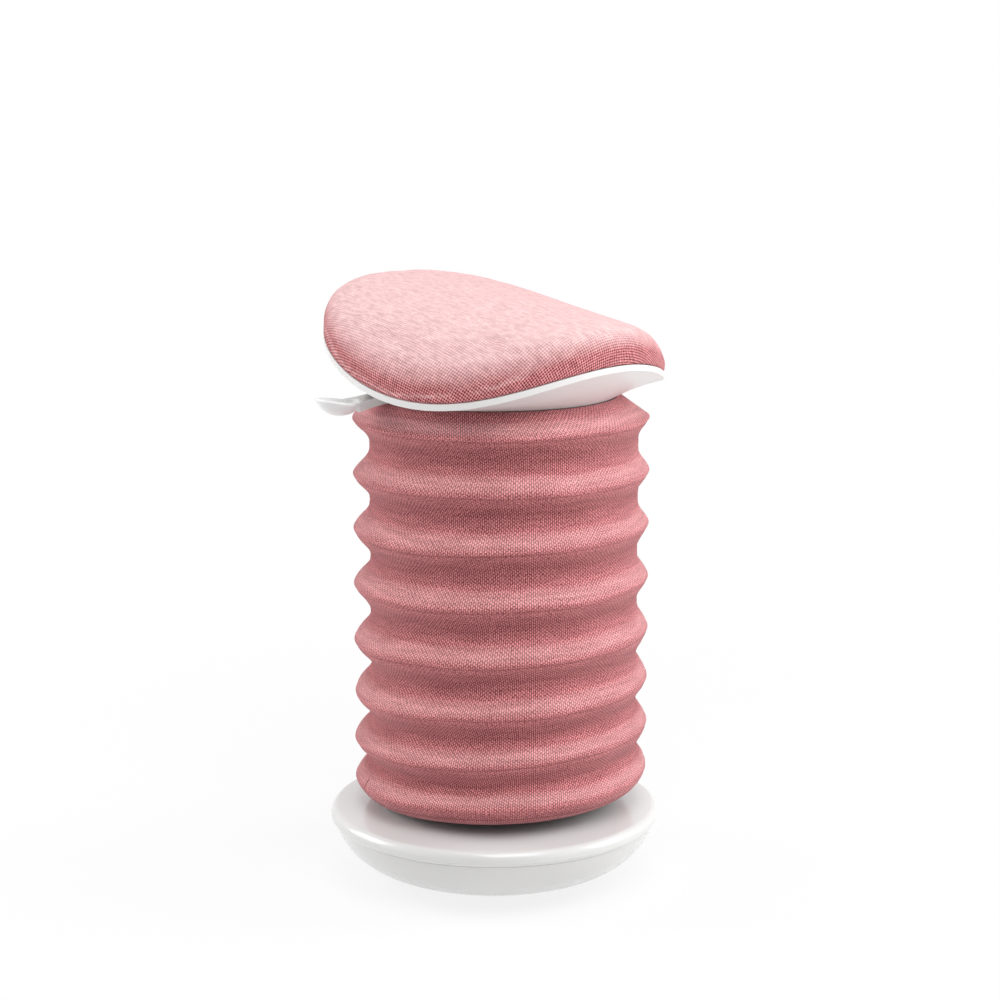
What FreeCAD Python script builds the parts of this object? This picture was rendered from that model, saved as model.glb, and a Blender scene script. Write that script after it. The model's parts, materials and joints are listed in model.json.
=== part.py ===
"""Wobble stool: a saddle seat on a gas column, a fabric bellows and a rocking foot.

Millimetres, +Z up. The origin is the middle of the flat on which the foot rests.
The sitter faces -Y, so the release lever is on the sitter's right, at -X.
"""
import FreeCAD, Part
import math
import os

os.makedirs("parts", exist_ok=True)

# Clearances
running_fit = 0.05
contact_gap = 0.1
seat_gap = 0.3
slide_gap = 0.5
cutting_margin = 30.0

# Foot: a rubber rocker sole under a two-part plastic housing
base_radius = 175.0
rocker_radius = 380.0
foot_flat_radius = 55.0
sole_thickness = 4.0
sole_radius = 128.0
bowl_wall = 3.5
bowl_side_radius = 70.0
parting_height = 64.0
parting_groove = 0.6
cover_wall = 3.0
cover_top_height = 97.0
cover_dome_radius = 840.0
cover_edge_radius = 9.0
cover_lip_step = 0.9
cover_skirt_depth = 8.0
cover_collar_height = 9.0
post_circle_radius = 72.0
post_radius = 6.5
post_height = 86.0
post_count = 6
cover_screw_radius = 2.0
cover_screw_head = 4.5
cover_screw_head_height = 2.6
cover_screw_bite = 20.0
cover_screw_sink = 0.5

# Ballast and hub inside the foot
ballast_inner_radius = 86.0
ballast_rim_gap = 1.0
ballast_top_height = 36.0
hub_flange_thickness = 6.0
hub_tower_radius = 33.0
hub_tower_height = 52.0
hub_rib_thickness = 5.0
hub_rib_count = 6
hub_screw_circle_radius = 46.0
hub_screw_radius = 3.0
hub_screw_head = 5.5
hub_screw_head_height = 4.0
hub_screw_floor = 0.6

# Column: outer tube, guide bush and thrust bearing
tube_radius = 25.0
tube_wall = 2.5
tube_bottom_height = 15.0
tube_top_clearance = 9.0
tube_floor_height = 18.0
tube_floor_thickness = 4.0
bush_length = 55.0
bush_flange_thickness = 3.0
washer_radius = 13.0
washer_thickness = 2.0
roller_radius = 1.5
roller_length = 6.0
roller_count = 10
cage_thickness = 1.6
bumper_radius = 15.0
bumper_length = 40.0
bumper_clearance = 1.0

# Gas spring
stroke = 130.0
cylinder_radius = 14.0
cylinder_wall = 2.0
cylinder_taper_length = 52.8
cylinder_taper_slope = 0.016
rod_radius = 5.0
rod_end_radius = 4.0
clip_thickness = 1.6
clip_radius = 8.0
clip_groove_depth = 1.0
clip_mouth = 5.2
gland_length = 17.0
gland_recess = 1.4
cylinder_crimp = 1.2
piston_length = 16.0
piston_groove = 3.0
piston_groove_depth = 1.5
valve_length = 34.0
release_pin_radius = 4.0
release_pin_length = 21.5
release_pin_stand = 6.0
release_pin_dome = 9.0

# Seat: saddle surface, shell, board, foam and cover
seat_radius = 176.5
seat_middle_height = 575.0
seat_back_rise = 20.5
seat_end_rise = 12.5
seat_side_fall = 30.0
seat_side_twist = 27.5
shell_depth = 53.0
shell_floor_radius = 128.0
shell_wall = 2.8
shell_lip_height = 6.0
board_thickness = 6.0
board_edge_groove = 4.5
pad_edge_thickness = 32.5
pad_crown = 15.0
pad_edge_round = 19.0
pad_overhang = 1.0
cover_cloth = 1.5
board_post_spread = 62.0
board_post_radius = 7.0
board_screw_radius = 2.5
board_screw_head = 5.0
board_screw_head_height = 2.2
board_screw_sink = 4.2
board_screw_length = 26.0

# Seat plate, taper socket and lever bracket
plate_size = 150.0
plate_corner = 14.0
plate_thickness = 3.0
plate_screw_radius = 3.0
plate_screw_head = 5.5
plate_screw_head_height = 3.5
plate_screw_circle_radius = 60.0
socket_wall = 4.0
socket_length = 48.0
socket_stand = 2.0
bracket_sheet = 2.5
bracket_half_length = 12.0
pivot_distance = 40.0
pivot_stand = 13.0
lever_pin_radius = 3.0
lever_pin_head = 4.5
lever_pin_head_thickness = 1.5

# Release lever, which points a little behind the sitter's right
lever_direction = 165.0
lever_half_width = 13.0
lever_arm_thickness = 9.0
lever_arm_end = 166.0
lever_arm_drop = 19.5
lever_finger_reach = 7.0
lever_finger_half_width = 7.0
lever_finger_thickness = 6.0
lever_neck_length = 26.0
lever_neck_flare = 6.0
lever_slot_gap = 4.0
lever_slot_start = 106.0
lever_slot_end = 161.0
lever_slot_corner = 6.0
lever_hub_radius = 8.0
paddle_distance = 180.5
paddle_radius = 24.5
paddle_depth = 15.5
paddle_wall = 4.0
paddle_rim_round = 1.6
paddle_tilt = 8.5
paddle_drop = 13.3
lever_travel = 5.0

# Fabric bellows with a hoop in every fold
fold_count = 8
fold_crest_radius = 154.0
fold_valley_radius = 140.5
valley_shift = 3.0
top_crest_drop = 23.5
slack_gain = 2.4
slack_from_fold = 4
neck_valley_share = 0.55
neck_shoulder_drop = 4.0
neck_shoulder_rise = 4.7
hem_shoulder_drop = 4.7
fabric_thickness = 2.0
fabric_top_radius = 129.5
hem_radius = 134.0
hem_drop = 20.5
hem_clearance = 0.5
droop_per_fold = 1.6
hem_droop = 5.0
droop_direction = -45.0
bellows_shift = 7.0
hoop_width = 4.0
hoop_thickness = 2.0
top_ring_width = 14.0
top_ring_height = 8.0
hem_ring_thickness = 3.0
hem_ring_width = 6.0
ring_screw_count = 6
ring_screw_radius = 2.0
ring_screw_head = 4.0
ring_screw_head_height = 2.4
ring_screw_floor = 1.5

# Values worked out from the sizes above
up = FreeCAD.Vector(0, 0, 1)
origin = FreeCAD.Vector(0, 0, 0)
rocker_centre = math.sqrt(rocker_radius**2 - foot_flat_radius**2)
shell_floor_height = seat_middle_height - shell_depth
plate_height = shell_floor_height + shell_wall
plate_top = plate_height + plate_thickness
socket_top = plate_top + socket_stand
socket_low = socket_top - socket_length
socket_radius = cylinder_radius + socket_wall
cylinder_top = socket_top + 1.0
cylinder_taper_start = cylinder_top - cylinder_taper_length
tube_top_height = socket_low - stroke - bush_flange_thickness - tube_top_clearance
tube_bore = tube_radius - tube_wall
washer_low = tube_floor_height + tube_floor_thickness
roller_low = washer_low + washer_thickness
top_washer_low = roller_low + 2 * roller_radius + running_fit
bumper_low = top_washer_low + washer_thickness
cylinder_bottom_height = bumper_low + bumper_length + bumper_clearance + stroke
cylinder_bore = cylinder_radius - cylinder_wall
gland_low = cylinder_bottom_height + gland_recess
gland_high = gland_low + gland_length
piston_low = gland_high + seat_gap
piston_high = piston_low + piston_length
clip_low = tube_floor_height - clip_thickness - running_fit
pivot_height = plate_top + pivot_stand
release_pin_travel = pivot_distance * math.radians(lever_travel)
bellows_top = shell_floor_height - seat_gap
fold_swing = fold_crest_radius - fold_valley_radius
last_fold = fold_count - 1
slack_closing = slack_gain * max(0, last_fold - slack_from_fold) ** 2
hem_height = cover_top_height + hem_clearance
folded_height = bellows_top - top_crest_drop - hem_drop - hem_height
fold_pitch = (folded_height + slack_closing) / last_fold
seat_lowest = seat_middle_height - seat_back_rise - seat_side_fall - seat_side_twist
seat_highest = seat_middle_height + seat_back_rise + seat_end_rise + pad_edge_thickness + pad_crown
cutting_low = seat_lowest - shell_depth - cutting_margin
cutting_high = seat_highest + cutting_margin
ring_outer_radius = fabric_top_radius - fabric_thickness - seat_gap
ring_screw_circle_radius = ring_outer_radius - top_ring_width / 2


def point(radius, height):
    """A point of a profile in the XZ plane."""
    return FreeCAD.Vector(radius, 0, height)


def wire_of(start, *steps):
    """A closed wire in the XZ plane. A step of two numbers is a corner, one of four an arc."""
    edges = []
    here = point(*start)
    for step in list(steps) + [start]:
        there = point(*step[-2:])
        if here.distanceToPoint(there) < 1e-7:
            continue
        if len(step) == 4:
            edges.append(Part.Arc(here, point(*step[:2]), there).toShape())
        else:
            edges.append(Part.LineSegment(here, there).toShape())
        here = there
    return Part.Wire(edges)


def turned(start, *steps):
    """The solid that a profile makes when it is turned about the Z axis."""
    return Part.Face(wire_of(start, *steps)).revolve(origin, up, 360)


def arc_to(centre, start, end):
    """The arc step from start to end about a centre, by way of the point between them."""
    radius = math.dist(centre, start)
    middle_radius = start[0] + end[0] - 2 * centre[0]
    middle_height = start[1] + end[1] - 2 * centre[1]
    scale = radius / math.hypot(middle_radius, middle_height)
    middle = (centre[0] + scale * middle_radius, centre[1] + scale * middle_height)
    return middle + end


def ring(outer_radius, inner_radius, bottom, top):
    """A plain ring, or a disc where the inner radius is nothing."""
    body = Part.makeCylinder(outer_radius, top - bottom, point(0, bottom), up)
    if inner_radius > 0:
        body = body.cut(Part.makeCylinder(inner_radius, top - bottom, point(0, bottom), up))
    return body


def around(count, radius, first=0.0):
    """Evenly spaced places on a circle, as pairs of X and Y."""
    places = []
    for index in range(count):
        angle = math.radians(first + 360.0 * index / count)
        places.append((radius * math.cos(angle), radius * math.sin(angle)))
    return places


def rods(places, radius, bottom, top):
    """Upright cylinders at the given places, as one list."""
    bodies = []
    for x, y in places:
        bodies.append(Part.makeCylinder(radius, top - bottom, FreeCAD.Vector(x, y, bottom), up))
    return bodies


def screws(places, radius, head_radius, head_height, seat_height, tip_height):
    """Plain-headed screws whose heads sit on seat_height and whose tips reach tip_height."""
    bodies = []
    side = 1.0 if tip_height < seat_height else -1.0
    for x, y in places:
        head_start = seat_height if side > 0 else seat_height - head_height
        head = Part.makeCylinder(head_radius, head_height, FreeCAD.Vector(x, y, head_start), up)
        low, high = sorted((seat_height, tip_height))
        shank = Part.makeCylinder(radius, high - low, FreeCAD.Vector(x, y, low), up)
        bodies.append(head.fuse(shank).removeSplitter())
    return Part.makeCompound(bodies)


def save(name, shape):
    """Write one node and print its volume."""
    shape.exportStep("parts/" + name + ".step")
    print(name, len(shape.Solids), "solid", round(shape.Volume), "mm3")


# Foot housing

def on_dome(radius, distance):
    """The point of a rocker dome of this radius at a distance from the axis."""
    return (distance, rocker_centre - math.sqrt(radius**2 - distance**2))


def dome_meets(radius, height):
    """How far from the axis a rocker dome of this radius reaches a height."""
    return math.sqrt(radius**2 - (rocker_centre - height) ** 2)


dome_centre = (0.0, rocker_centre)
sole_top_radius = rocker_radius - sole_thickness
floor_radius = sole_top_radius - bowl_wall
floor_height = sole_thickness + bowl_wall
sole_tilt = math.asin(sole_radius / rocker_radius)
sole_edge = on_dome(rocker_radius, sole_radius)
sole_inner_edge = on_dome(sole_top_radius, sole_top_radius * math.sin(sole_tilt))
sole_flat = (dome_meets(sole_top_radius, sole_thickness), sole_thickness)
floor_flat = (dome_meets(floor_radius, floor_height), floor_height)
side_centre = (
    sole_edge[0] - bowl_side_radius * math.sin(sole_tilt),
    sole_edge[1] + bowl_side_radius * math.cos(sole_tilt))


def on_side(inset, height):
    """The point of the bowl's rounded side at a height, inset from the outer face."""
    radius = bowl_side_radius - inset
    return (side_centre[0] + math.sqrt(radius**2 - (side_centre[1] - height) ** 2), height)


def make_sole():
    flat_edge = on_dome(rocker_radius, foot_flat_radius)
    return turned(
        (0, 0), flat_edge, arc_to(dome_centre, flat_edge, sole_edge), sole_inner_edge,
        arc_to(dome_centre, sole_inner_edge, sole_flat), (0, sole_thickness))


def below_bowl():
    """Everything under the bowl's outer face, which trims the posts."""
    return turned(
        (0, -1), (0, sole_thickness), sole_flat,
        arc_to(dome_centre, sole_flat, sole_inner_edge), (sole_inner_edge[0], -1))


hub_screw_places = around(hub_rib_count, hub_screw_circle_radius, 180.0 / hub_rib_count)
hub_screw_tip = sole_thickness + hub_screw_floor
hub_radius = floor_flat[0] - slide_gap
floor_reach = sole_radius - 2 * bowl_wall
post_places = around(post_count, post_circle_radius)


def make_bowl():
    rim = on_side(0, parting_height)
    rim_inside = on_side(bowl_wall, parting_height)
    inner_dome = rocker_radius - bowl_wall
    side_foot = on_dome(inner_dome, inner_dome * math.sin(sole_tilt))
    skirt_foot = parting_height - cover_skirt_depth
    side_top = on_side(bowl_wall, skirt_foot)
    side_middle = on_side(bowl_wall, (skirt_foot + side_foot[1]) / 2)
    floor_edge = on_dome(floor_radius, floor_reach)
    shell = turned(
        (0, sole_thickness), sole_flat, arc_to(dome_centre, sole_flat, sole_inner_edge),
        sole_edge, arc_to(side_centre, sole_edge, rim), rim_inside,
        side_top, side_middle, side_foot, floor_edge,
        arc_to(dome_centre, floor_edge, floor_flat), (0, floor_height))
    trim = below_bowl()
    for post in rods(post_places, post_radius, 0, post_height):
        shell = shell.fuse(post.cut(trim))
    hole_low = post_height - cover_screw_bite - 2.0
    for hole in rods(post_places, cover_screw_radius, hole_low, post_height):
        shell = shell.cut(hole)
    for hole in rods(hub_screw_places, hub_screw_radius, hub_screw_tip, floor_height + 1):
        shell = shell.cut(hole)
    return shell


cover_centre = (0.0, cover_top_height - cover_dome_radius)
cover_hole_radius = tube_radius + 2.0


def on_cover(inset, distance):
    """The point of the cover's dome at a distance from the axis."""
    radius = cover_dome_radius - inset
    return (distance, cover_centre[1] + math.sqrt(radius**2 - distance**2))


def make_cover():
    edge_reach = base_radius - cover_edge_radius
    dome_reach = cover_dome_radius - cover_edge_radius
    edge_centre = (edge_reach, cover_centre[1] + math.sqrt(dome_reach**2 - edge_reach**2))
    outer_tangent = on_cover(0, edge_reach * cover_dome_radius / dome_reach)
    inner_tangent = on_cover(
        cover_wall, edge_reach * (cover_dome_radius - cover_wall) / dome_reach)
    inner_middle = on_cover(cover_wall, edge_reach / 2)
    foot = (on_side(0, parting_height)[0] + cover_lip_step, parting_height + parting_groove)
    foot_top = (base_radius, edge_centre[1] - cover_wall)
    widest = (base_radius, edge_centre[1])
    inside_widest = (base_radius - cover_wall, edge_centre[1])
    collar_top = on_cover(0, cover_hole_radius)[1] + cover_collar_height
    collar_foot = on_cover(0, cover_hole_radius + cover_wall)
    hole_edge = on_cover(cover_wall, cover_hole_radius)
    skirt_foot = parting_height - cover_skirt_depth
    skirt_radius = on_side(bowl_wall, skirt_foot)[0] - seat_gap
    skirt_inside = skirt_radius - cover_wall
    web_top = parting_height + cover_wall
    rest_radius = on_side(bowl_wall / 2, parting_height)[0]
    shell = turned(
        foot, foot_top, widest, arc_to(edge_centre, widest, outer_tangent),
        arc_to(cover_centre, outer_tangent, collar_foot), (collar_foot[0], collar_top),
        (cover_hole_radius, collar_top), hole_edge, inner_middle, inner_tangent,
        inside_widest, (inside_widest[0], web_top),
        (skirt_inside, web_top), (skirt_inside, skirt_foot), (skirt_radius, skirt_foot),
        (skirt_radius, parting_height), (rest_radius, parting_height), (rest_radius, foot[1]))
    top_edge = on_cover(0, edge_reach)
    under_dome = turned((0, 0), top_edge[:1] + (0,), top_edge,
                        arc_to(cover_centre, top_edge, (0, cover_top_height)))
    for boss in rods(post_places, post_radius, post_height, cover_top_height):
        shell = shell.fuse(boss.common(under_dome))
    for hole in rods(post_places, cover_screw_radius, post_height, cover_top_height + 1):
        shell = shell.cut(hole)
    head_seat = cover_screw_seat()
    for pocket in rods(post_places, cover_screw_head + slide_gap, head_seat, cover_top_height + 5):
        shell = shell.cut(pocket)
    return shell


def cover_screw_seat():
    """The height at which the cover's screw heads sit, sunk in the dome."""
    return on_cover(cover_wall, post_circle_radius)[1] - cover_screw_sink


def make_ballast():
    inner = on_dome(floor_radius, ballast_inner_radius)
    outer = on_dome(floor_radius, floor_reach - ballast_rim_gap)
    return turned(
        inner, arc_to(dome_centre, inner, outer), (outer[0], ballast_top_height),
        (inner[0], ballast_top_height))


def make_hub():
    flange_top = floor_height + hub_flange_thickness
    tower_top = flange_top + hub_tower_height
    body = turned(
        (0, floor_height), (hub_radius, floor_height), (hub_radius, flange_top),
        (hub_tower_radius + 3, flange_top), (hub_tower_radius, flange_top + 3),
        (hub_tower_radius - 2, tower_top), (tube_radius, tower_top),
        (tube_radius, tube_bottom_height), (tube_bore, tube_bottom_height),
        (tube_bore, flange_top), (0, flange_top))
    rib_profile = wire_of(
        (tube_radius + 1, flange_top - 1), (hub_radius - 4, flange_top - 1),
        (hub_radius - 4, flange_top + 2), (hub_tower_radius - 2, tower_top - 8),
        (tube_radius + 1, tower_top - 8))
    rib = Part.Face(rib_profile).extrude(FreeCAD.Vector(0, hub_rib_thickness, 0))
    rib.translate(FreeCAD.Vector(0, -hub_rib_thickness / 2, 0))
    for arm in spread(rib, hub_rib_count):
        body = body.fuse(arm)
    for hole in rods(hub_screw_places, hub_screw_radius, floor_height, flange_top):
        body = body.cut(hole)
    return body


def make_foot():
    save("rubber_sole", make_sole())
    save("base_bowl", make_bowl())
    save("base_cover", make_cover())
    save("ballast_ring", make_ballast())
    save("base_hub", make_hub())
    save("hub_screws", screws(
        hub_screw_places, hub_screw_radius, hub_screw_head, hub_screw_head_height,
        floor_height + hub_flange_thickness, hub_screw_tip))
    save("cover_screws", screws(
        post_places, cover_screw_radius, cover_screw_head, cover_screw_head_height,
        cover_screw_seat(), post_height - cover_screw_bite))


# Column and gas spring

def taper_radius(height):
    """The cylinder's radius on its taper, which wedges into the socket."""
    return cylinder_radius - cylinder_taper_slope * (height - cylinder_taper_start)


def make_column_tube():
    return turned(
        (rod_end_radius + running_fit, tube_floor_height), (tube_bore, tube_floor_height),
        (tube_bore, tube_bottom_height), (tube_radius, tube_bottom_height),
        (tube_radius, tube_top_height), (tube_bore, tube_top_height), (tube_bore, washer_low),
        (rod_end_radius + running_fit, washer_low))


def make_guide_bush():
    bore = cylinder_radius + running_fit
    bottom = tube_top_height - bush_length
    top = tube_top_height + bush_flange_thickness
    return turned(
        (bore, bottom + 2), (bore + 2, bottom), (tube_bore, bottom),
        (tube_bore, tube_top_height), (tube_radius, tube_top_height), (tube_radius, top - 1),
        (tube_radius - 1, top), (bore + 1, top), (bore, top - 1))


def roller(radius, extra):
    """One roller of the thrust bearing, lying along +X."""
    outer = washer_radius - 1.0
    start = outer - roller_length - extra
    return Part.makeCylinder(
        radius, roller_length + 2 * extra, FreeCAD.Vector(start, 0, roller_low + roller_radius),
        FreeCAD.Vector(1, 0, 0))


def spread(shape, count):
    """Copies of a shape, evenly turned about the column's axis."""
    copies = []
    for index in range(count):
        copy = shape.copy()
        copy.rotate(origin, up, 360.0 * index / count)
        copies.append(copy)
    return copies


def make_cage():
    middle = roller_low + roller_radius
    cage = ring(washer_radius - 0.4, rod_end_radius + slide_gap,
                middle - cage_thickness / 2, middle + cage_thickness / 2)
    for pocket in spread(roller(roller_radius + running_fit, running_fit), roller_count):
        cage = cage.cut(pocket)
    return cage


def make_rod():
    tip = tube_bottom_height - 0.5
    groove = rod_end_radius - clip_groove_depth
    top = piston_high + 1.5
    return turned(
        (0, tip), (rod_end_radius - 0.5, tip), (rod_end_radius, tip + 0.5),
        (rod_end_radius, clip_low), (groove, clip_low), (groove, clip_low + clip_thickness),
        (rod_end_radius, clip_low + clip_thickness), (rod_end_radius, bumper_low),
        (rod_radius, bumper_low), (rod_radius, piston_low), (rod_end_radius, piston_low),
        (rod_end_radius, top - 0.5), (rod_end_radius - 0.5, top), (0, top))


def make_clip():
    body = ring(clip_radius, rod_end_radius - clip_groove_depth, clip_low, clip_low + clip_thickness)
    mouth = Part.makeBox(clip_radius, clip_mouth, clip_thickness,
                         FreeCAD.Vector(0, -clip_mouth / 2, clip_low))
    return body.cut(mouth)


def make_bumper():
    top = bumper_low + bumper_length
    waist = (bumper_radius - 3, bumper_low + bumper_length / 2)
    return turned(
        (rod_radius, bumper_low), (bumper_radius, bumper_low), waist,
        (bumper_radius - 1, top - 2), (bumper_radius - 3, top), (rod_radius, top))


def make_piston():
    groove_low = piston_low + (piston_length - piston_groove) / 2
    groove_high = groove_low + piston_groove
    outer = cylinder_bore - running_fit
    floor = outer - piston_groove_depth
    return turned(
        (rod_end_radius, piston_low), (outer, piston_low), (outer, groove_low),
        (floor, groove_low), (floor, groove_high), (outer, groove_high),
        (outer, piston_high), (rod_end_radius, piston_high))


def make_cylinder():
    crimp = cylinder_bore - cylinder_crimp
    return turned(
        (crimp, cylinder_bottom_height), (cylinder_radius - 1, cylinder_bottom_height),
        (cylinder_radius, cylinder_bottom_height + 1), (cylinder_radius, cylinder_taper_start),
        (taper_radius(cylinder_top), cylinder_top), (cylinder_bore, cylinder_top),
        (cylinder_bore, gland_low), (crimp, gland_low))


def make_gland():
    bore = rod_radius + running_fit
    return turned(
        (bore, gland_low), (cylinder_bore, gland_low), (cylinder_bore, gland_high),
        (bore + 1, gland_high), (bore, gland_high - 1))


def make_valve():
    low = cylinder_top - valve_length
    pin_low = cylinder_top + release_pin_stand - release_pin_length
    bore_low = pin_low - release_pin_travel - slide_gap
    bore = release_pin_radius + running_fit
    return turned(
        (0, low), (cylinder_bore, low), (cylinder_bore, cylinder_top), (bore, cylinder_top),
        (bore, bore_low), (0, bore_low))


def make_release_pin():
    top = cylinder_top + release_pin_stand
    low = top - release_pin_length
    reach = release_pin_radius
    dome_centre_height = top - release_pin_dome
    shoulder = (reach, dome_centre_height + math.sqrt(release_pin_dome**2 - reach**2))
    return turned(
        (0, low), (reach, low), shoulder,
        arc_to((0, dome_centre_height), shoulder, (0, top)))


def make_column():
    save("column_tube", make_column_tube())
    save("guide_bush", make_guide_bush())
    save("bearing_bottom_washer", ring(washer_radius, rod_end_radius + slide_gap, washer_low, roller_low))
    save("bearing_rollers", Part.makeCompound(spread(roller(roller_radius, 0), roller_count)))
    save("bearing_cage", make_cage())
    save("bearing_top_washer", ring(washer_radius, rod_end_radius, top_washer_low, bumper_low))
    save("piston_rod", make_rod())
    save("rod_clip", make_clip())
    save("rubber_bumper", make_bumper())
    save("piston_head", make_piston())
    save("gas_cylinder", make_cylinder())
    save("cylinder_gland", make_gland())
    save("valve_block", make_valve())
    save("release_pin", make_release_pin())


# Saddle surface of the seat

def saddle_height(x, y, lift=0.0):
    """The height of the line where the pad meets the shell, carried inwards as a saddle."""
    share_x = x / seat_radius
    share_y = y / seat_radius
    ends = seat_back_rise * share_y + seat_end_rise * share_y**2
    sides = (seat_side_fall - seat_side_twist * share_y) * share_x**2
    return seat_middle_height + lift + ends - sides


def below_saddle(lift, crown=0.0):
    """A block whose top is the saddle, lifted and crowned in the middle."""
    share = 1.3
    reach = seat_radius * share
    steps = ((-share, share**2), (0.0, -(share**2)), (share, share**2))
    patch = Part.BezierSurface()
    patch.increase(2, 2)
    middle = seat_middle_height + lift + crown
    for row, (x, x_square) in enumerate(steps):
        for column, (y, y_square) in enumerate(steps):
            height = middle + seat_back_rise * y + (seat_end_rise - crown) * y_square
            height -= (seat_side_fall - seat_side_twist * y + crown) * x_square
            pole = FreeCAD.Vector(x * seat_radius, y * seat_radius, height)
            patch.setPole(row + 1, column + 1, pole)
    top = patch.toShape()
    block = top.extrude(FreeCAD.Vector(0, 0, -2 * seat_middle_height))
    box = Part.makeBox(3 * reach, 3 * reach, 2 * seat_middle_height,
                       FreeCAD.Vector(-1.5 * reach, -1.5 * reach, cutting_low))
    return block.common(box)


def plan_disc(radius):
    """An upright cylinder with the seat's round outline."""
    return Part.makeCylinder(radius, cutting_high - cutting_low, point(0, cutting_low), up)


def flank_solid(inset):
    """The shell's bowl: straight rulings from its round floor to the lip of the saddle."""
    bottom = shell_floor_height + inset
    top = seat_highest
    inner = shell_floor_radius - inset
    outer = seat_radius - inset
    count = 48
    floor_points = []
    top_points = []
    for x, y in around(count, 1.0):
        ahead = FreeCAD.Vector(x, y, 0)
        rim_height = saddle_height(seat_radius * ahead.x, seat_radius * ahead.y)
        rim_height += inset - shell_lip_height
        reach = inner + (outer - inner) * (top - bottom) / (rim_height - bottom)
        floor_points.append(ahead * inner + FreeCAD.Vector(0, 0, bottom))
        top_points.append(ahead * reach + FreeCAD.Vector(0, 0, top))
    knots = [index / count for index in range(count + 1)]
    wires = []
    for points in (floor_points, top_points):
        curve = Part.BSplineCurve()
        curve.interpolate(Points=points, PeriodicFlag=True, Parameters=knots)
        wires.append(Part.Wire(curve.toShape()))
    return Part.makeLoft(wires, True, True)


def lever_turn(shape):
    """Turn a piece that was drawn along +X to the lever's direction."""
    shape.rotate(origin, up, lever_direction)
    return shape


ring_screw_places = around(ring_screw_count, ring_screw_circle_radius, lever_direction + 30)
ring_screw_tip = shell_floor_height - top_ring_height + ring_screw_floor
plate_screw_places = around(4, plate_screw_circle_radius)
board_post_places = [
    (board_post_spread, board_post_spread), (-board_post_spread, board_post_spread),
    (-board_post_spread, -board_post_spread), (board_post_spread, -board_post_spread)]

def make_shell():
    outside = flank_solid(0).common(plan_disc(seat_radius)).common(below_saddle(0))
    inside = flank_solid(shell_wall).common(plan_disc(seat_radius - shell_wall))
    shell = outside.cut(inside)
    post_limit = below_saddle(-board_thickness - contact_gap)
    low = shell_floor_height - cutting_margin
    high = cutting_high
    post_foot = shell_floor_height + shell_wall / 2
    for post in rods(board_post_places, board_post_radius, post_foot, high):
        shell = shell.fuse(post.common(post_limit))
    holes = rods(board_post_places, board_screw_radius, plate_top, high)
    holes += rods([(0, 0)], socket_radius + slide_gap, low, plate_height + 1)
    holes += rods(plate_screw_places, plate_screw_radius, low, plate_height + 1)
    holes += rods(ring_screw_places, ring_screw_radius, low, plate_height + 1)
    for hole in holes:
        shell = shell.cut(hole)
    slot_half_width = lever_half_width + lever_slot_gap
    slot = Part.makeBox(
        lever_slot_end - lever_slot_start, 2 * slot_half_width, 2 * cutting_margin,
        FreeCAD.Vector(lever_slot_start, -slot_half_width, low))
    slot = slot.makeFillet(lever_slot_corner, upright_edges(slot))
    return shell.cut(lever_turn(slot))


def upright_edges(box):
    """The upright edges of a block."""
    return [edge for edge in box.Edges if abs(edge.tangentAt(edge.FirstParameter).z) > 0.9]


def make_board():
    disc = plan_disc(seat_radius - shell_wall - board_edge_groove)
    board = disc.common(below_saddle(0)).cut(below_saddle(-board_thickness))
    for x, y in board_post_places:
        low = saddle_height(x, y) - cutting_margin
        hole = Part.makeCylinder(
            board_screw_radius, 2 * cutting_margin, FreeCAD.Vector(x, y, low), up)
        sink = Part.makeCylinder(
            board_screw_head + slide_gap, cutting_margin,
            FreeCAD.Vector(x, y, board_screw_seat(x, y)), up)
        board = board.cut(hole).cut(sink)
    return board


def board_screw_seat(x, y):
    """The height at which a board screw's head sits, sunk below the board's top."""
    return saddle_height(x, y) - board_screw_sink


def make_board_screws():
    bodies = []
    for x, y in board_post_places:
        seat = board_screw_seat(x, y)
        bodies += screws([(x, y)], board_screw_radius, board_screw_head, board_screw_head_height,
                         seat, seat - board_screw_length).Solids
    return Part.makeCompound(bodies)


def cushion(inset, bottom_lift):
    """The crowned pad: a round saddle with a rounded upper edge."""
    disc = plan_disc(seat_radius + pad_overhang - inset)
    top = below_saddle(pad_edge_thickness - inset, pad_crown)
    body = disc.common(top).cut(below_saddle(bottom_lift))
    upper = []
    for edge in body.Edges:
        middle = edge.valueAt((edge.FirstParameter + edge.LastParameter) / 2)
        along = abs(edge.tangentAt((edge.FirstParameter + edge.LastParameter) / 2).z)
        if along < 0.9 and middle.z > saddle_height(middle.x, middle.y) + pad_edge_thickness / 2:
            upper.append(edge)
    return body.makeFillet(pad_edge_round - inset, upper)


def make_seat():
    save("seat_shell", make_shell())
    save("seat_board", make_board())
    save("board_screws", make_board_screws())
    foam = cushion(cover_cloth, seat_gap)
    hollow = cushion(cover_cloth, -cutting_margin)
    save("seat_foam", foam)
    save("seat_cover", cushion(0.0, seat_gap).cut(hollow))


# Plate, socket, lever and its bracket

def make_plate():
    plate = Part.makeBox(plate_size, plate_size, plate_thickness,
                         FreeCAD.Vector(-plate_size / 2, -plate_size / 2, plate_height))
    plate = plate.makeFillet(plate_corner, upright_edges(plate))
    for hole in rods([(0, 0)], socket_radius, plate_height, plate_top):
        plate = plate.cut(hole)
    for hole in rods(plate_screw_places, plate_screw_radius, plate_height, plate_top):
        plate = plate.cut(hole)
    for hole in rods(board_post_places, board_post_radius + slide_gap, plate_height, plate_top):
        plate = plate.cut(hole)
    return plate


def make_socket():
    return turned(
        (taper_radius(socket_low) + running_fit, socket_low), (socket_radius - 1, socket_low),
        (socket_radius, socket_low + 1), (socket_radius, socket_top),
        (taper_radius(socket_top) + running_fit, socket_top))


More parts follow.
